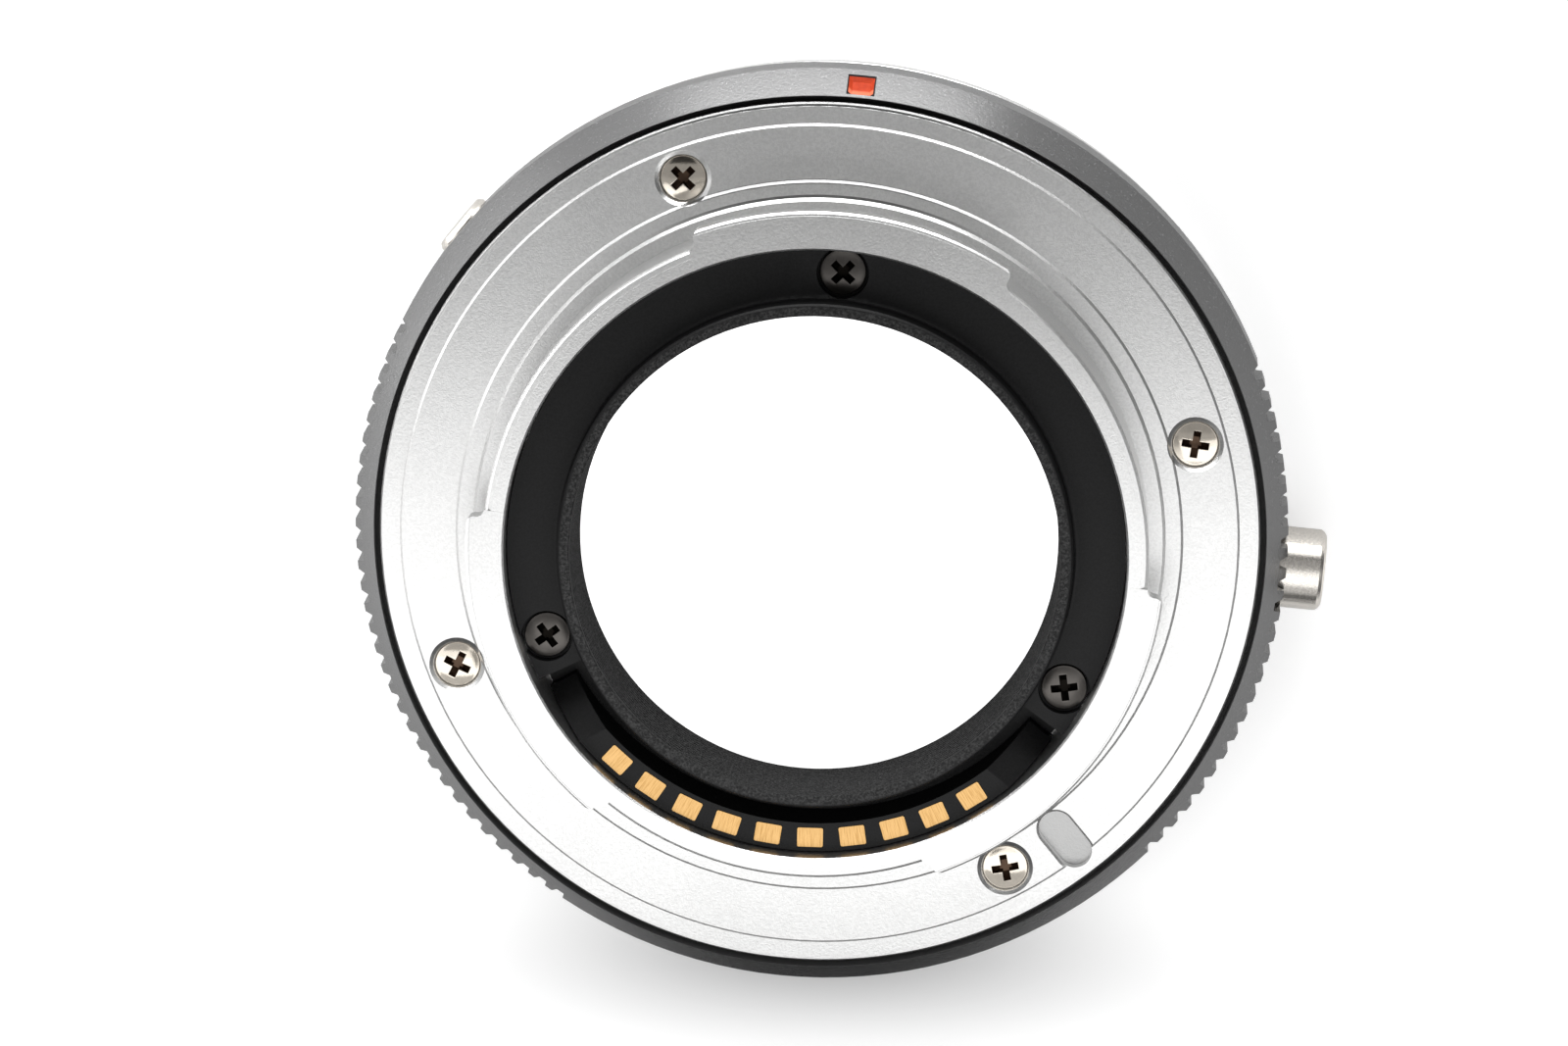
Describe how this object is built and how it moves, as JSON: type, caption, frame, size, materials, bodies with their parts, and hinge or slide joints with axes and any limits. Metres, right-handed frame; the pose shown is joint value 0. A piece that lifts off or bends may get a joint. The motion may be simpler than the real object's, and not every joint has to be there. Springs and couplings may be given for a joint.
{
  "type": "lens mount adapter",
  "caption": "Round metal lens mount adapter: black knurled ring with a silver camera bayonet, black baffle with gold contacts, side lens release button and small function button.",
  "frame": {"origin": "on the optical axis in the plane of the lens seat", "axes": "+Z along the optical axis to the camera, +Y to the index mark's side, +X to the lens release button's side"},
  "size_m": [0.0644, 0.0618, 0.0164],
  "materials": {
    "black_anodised": "satin",
    "satin_chrome": "satin",
    "bright_chrome": "satin",
    "nickel": "polished",
    "black_plastic": "matte",
    "dark_nickel": "satin",
    "gold_contact": "satin",
    "circuit_film": "satin",
    "orange_paint": "gloss",
    "brass_fork": "machined",
    "spring_steel": "polished",
    "switch_plastic": "matte",
    "leaf_bronze": "satin"
  },
  "bodies": {
    "body": {"body_ring": "black_anodised", "camera_bayonet": "satin_chrome", "flange_screws": "nickel", "baffle": "black_plastic", "baffle_screws": "dark_nickel", "contact_block": "black_plastic", "contact_01": "gold_contact", "contact_02": "gold_contact", "contact_03": "gold_contact", "contact_04": "gold_contact", "contact_05": "gold_contact", "contact_06": "gold_contact", "contact_07": "gold_contact", "contact_08": "gold_contact", "contact_09": "gold_contact", "contact_10": "gold_contact", "flex_circuit": "circuit_film", "index_mark": "orange_paint", "release_spring": "spring_steel", "lock_pin_spring": "spring_steel", "function_switch": "switch_plastic", "lens_ring": "bright_chrome", "lens_ring_screws": "nickel", "leaf_springs": "leaf_bronze"},
    "release": {"release_button": "nickel", "release_fork": "brass_fork"},
    "lock": {"lock_pin": "spring_steel"},
    "function": {"function_button": "nickel", "switch_plunger": "switch_plastic"}
  },
  "joints": [
    {"name": "release_press", "type": "slide", "parent": "body", "child": "release", "axis": [-0.9957, 0.0924, 0], "range_m": [0, 0.0011], "stiffness_N_per_m": 700, "springref_m": -0.0015, "deforming": ["release_spring"]},
    {"name": "lens_lock", "type": "slide", "parent": "body", "child": "lock", "axis": [0, 0, 1], "range_m": [0, 0.0009], "stiffness_N_per_m": 300, "springref_m": -0.0015, "deforming": ["lock_pin_spring"]},
    {"name": "function_press", "type": "slide", "parent": "body", "child": "function", "axis": [0.7694, -0.6388, 0], "range_m": [0, 0.00035], "stiffness_N_per_m": 1500, "springref_m": -0.0005}
  ],
  "couplings": [
    {"joint": "lens_lock", "follows": "release_press", "ratio": 0.8}
  ]
}
